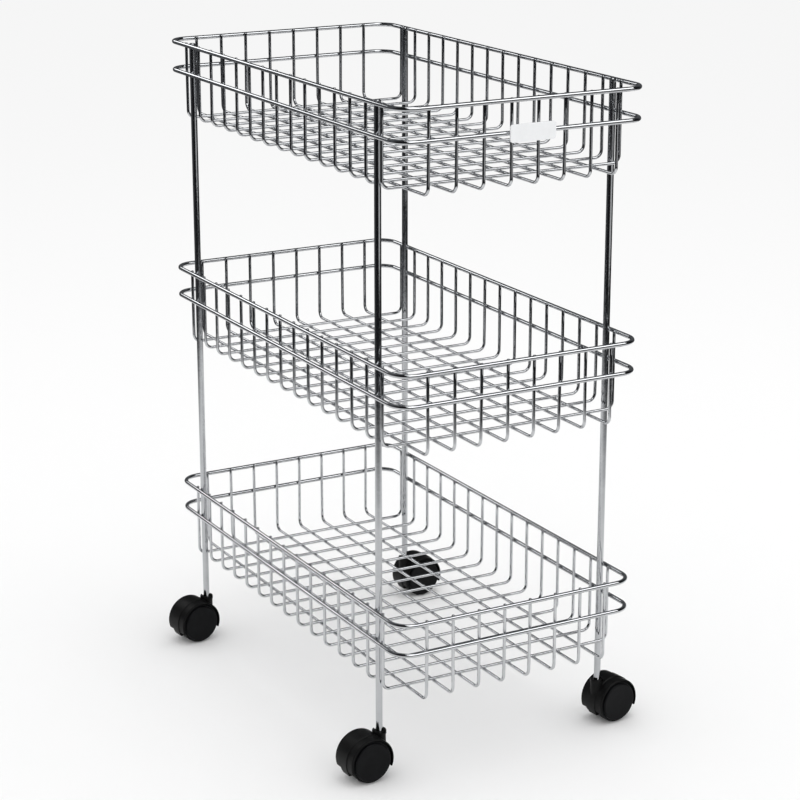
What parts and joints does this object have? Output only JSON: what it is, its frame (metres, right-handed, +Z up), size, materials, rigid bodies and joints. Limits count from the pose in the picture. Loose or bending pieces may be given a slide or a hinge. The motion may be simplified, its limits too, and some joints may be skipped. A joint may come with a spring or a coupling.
{
  "type": "rolling utility cart",
  "caption": "Open wire cart with three stacked rectangular baskets on slim round posts, rolling on hooded twin-wheel swivel casters.",
  "frame": {"origin": "on the floor, below the centre of the overall box", "axes": "+Z up, +X across the cart to its right seen from the front, +Y along the cart to its rear, so that the name plate faces -Y"},
  "size_m": [0.3062, 0.4648, 0.601],
  "materials": {
    "plated_wire": "bright plated, smooth, soft weld spots",
    "plated_rod": "bright plated, smooth",
    "spring_steel": "dull, oiled",
    "plate_plastic": "glossy white, blank",
    "clip_plastic": "moulded, satin",
    "hood_plastic": "moulded black nylon, satin",
    "wheel_plastic": "moulded black nylon, satin, fine turned marks on the tread",
    "bush_plastic": "moulded black acetal",
    "axle_steel": "turned steel"
  },
  "bodies": {
    "frame": {"bottom_basket_upper_rim": "plated_wire", "bottom_basket_lower_rail": "plated_wire", "bottom_basket_cross_wires": "plated_wire", "bottom_basket_long_wires": "plated_wire", "middle_basket_upper_rim": "plated_wire", "middle_basket_lower_rail": "plated_wire", "middle_basket_cross_wires": "plated_wire", "middle_basket_long_wires": "plated_wire", "top_basket_upper_rim": "plated_wire", "top_basket_lower_rail": "plated_wire", "top_basket_cross_wires": "plated_wire", "top_basket_long_wires": "plated_wire", "name_plate": "plate_plastic", "name_plate_clips": "clip_plastic", "post_front_left": "plated_rod", "post_ring_front_left": "spring_steel", "post_rear_left": "plated_rod", "post_ring_rear_left": "spring_steel", "post_front_right": "plated_rod", "post_ring_front_right": "spring_steel", "post_rear_right": "plated_rod", "post_ring_rear_right": "spring_steel"},
    "caster_front_left": {"caster_front_left_hood": "hood_plastic", "caster_front_left_stem_bush": "bush_plastic", "caster_front_left_axle": "axle_steel"},
    "wheel_front_left_a": {"caster_front_left_wheel_a": "wheel_plastic"},
    "wheel_front_left_b": {"caster_front_left_wheel_b": "wheel_plastic"},
    "caster_rear_left": {"caster_rear_left_hood": "hood_plastic", "caster_rear_left_stem_bush": "bush_plastic", "caster_rear_left_axle": "axle_steel"},
    "wheel_rear_left_a": {"caster_rear_left_wheel_a": "wheel_plastic"},
    "wheel_rear_left_b": {"caster_rear_left_wheel_b": "wheel_plastic"},
    "caster_front_right": {"caster_front_right_hood": "hood_plastic", "caster_front_right_stem_bush": "bush_plastic", "caster_front_right_axle": "axle_steel"},
    "wheel_front_right_a": {"caster_front_right_wheel_a": "wheel_plastic"},
    "wheel_front_right_b": {"caster_front_right_wheel_b": "wheel_plastic"},
    "caster_rear_right": {"caster_rear_right_hood": "hood_plastic", "caster_rear_right_stem_bush": "bush_plastic", "caster_rear_right_axle": "axle_steel"},
    "wheel_rear_right_a": {"caster_rear_right_wheel_a": "wheel_plastic"},
    "wheel_rear_right_b": {"caster_rear_right_wheel_b": "wheel_plastic"}
  },
  "joints": [
    {"name": "swivel_front_left", "type": "hinge", "parent": "frame", "child": "caster_front_left", "pos_m": [-0.115, -0.183, 0.035], "axis": [0, 0, 1], "continuous": true},
    {"name": "roll_front_left_a", "type": "hinge", "parent": "caster_front_left", "child": "wheel_front_left_a", "pos_m": [-0.12998, -0.18379, 0.02], "axis": [0.0523, -0.9986, 0], "continuous": true},
    {"name": "roll_front_left_b", "type": "hinge", "parent": "caster_front_left", "child": "wheel_front_left_b", "pos_m": [-0.12998, -0.18379, 0.02], "axis": [0.0523, -0.9986, 0], "continuous": true},
    {"name": "swivel_rear_left", "type": "hinge", "parent": "frame", "child": "caster_rear_left", "pos_m": [-0.115, 0.183, 0.035], "axis": [0, 0, 1], "continuous": true},
    {"name": "roll_rear_left_a", "type": "hinge", "parent": "caster_rear_left", "child": "wheel_rear_left_a", "pos_m": [-0.12989, 0.18117, 0.02], "axis": [0.1219, -0.9925, 0], "continuous": true},
    {"name": "roll_rear_left_b", "type": "hinge", "parent": "caster_rear_left", "child": "wheel_rear_left_b", "pos_m": [-0.12989, 0.18117, 0.02], "axis": [0.1219, -0.9925, 0], "continuous": true},
    {"name": "swivel_front_right", "type": "hinge", "parent": "frame", "child": "caster_front_right", "pos_m": [0.115, -0.183, 0.035], "axis": [0, 0, 1], "continuous": true},
    {"name": "roll_front_right_a", "type": "hinge", "parent": "caster_front_right", "child": "wheel_front_right_a", "pos_m": [0.12989, -0.18117, 0.02], "axis": [-0.1219, 0.9925, 0], "continuous": true},
    {"name": "roll_front_right_b", "type": "hinge", "parent": "caster_front_right", "child": "wheel_front_right_b", "pos_m": [0.12989, -0.18117, 0.02], "axis": [-0.1219, 0.9925, 0], "continuous": true},
    {"name": "swivel_rear_right", "type": "hinge", "parent": "frame", "child": "caster_rear_right", "pos_m": [0.115, 0.183, 0.035], "axis": [0, 0, 1], "continuous": true},
    {"name": "roll_rear_right_a", "type": "hinge", "parent": "caster_rear_right", "child": "wheel_rear_right_a", "pos_m": [0.12998, 0.18379, 0.02], "axis": [-0.0523, 0.9986, 0], "continuous": true},
    {"name": "roll_rear_right_b", "type": "hinge", "parent": "caster_rear_right", "child": "wheel_rear_right_b", "pos_m": [0.12998, 0.18379, 0.02], "axis": [-0.0523, 0.9986, 0], "continuous": true}
  ]
}
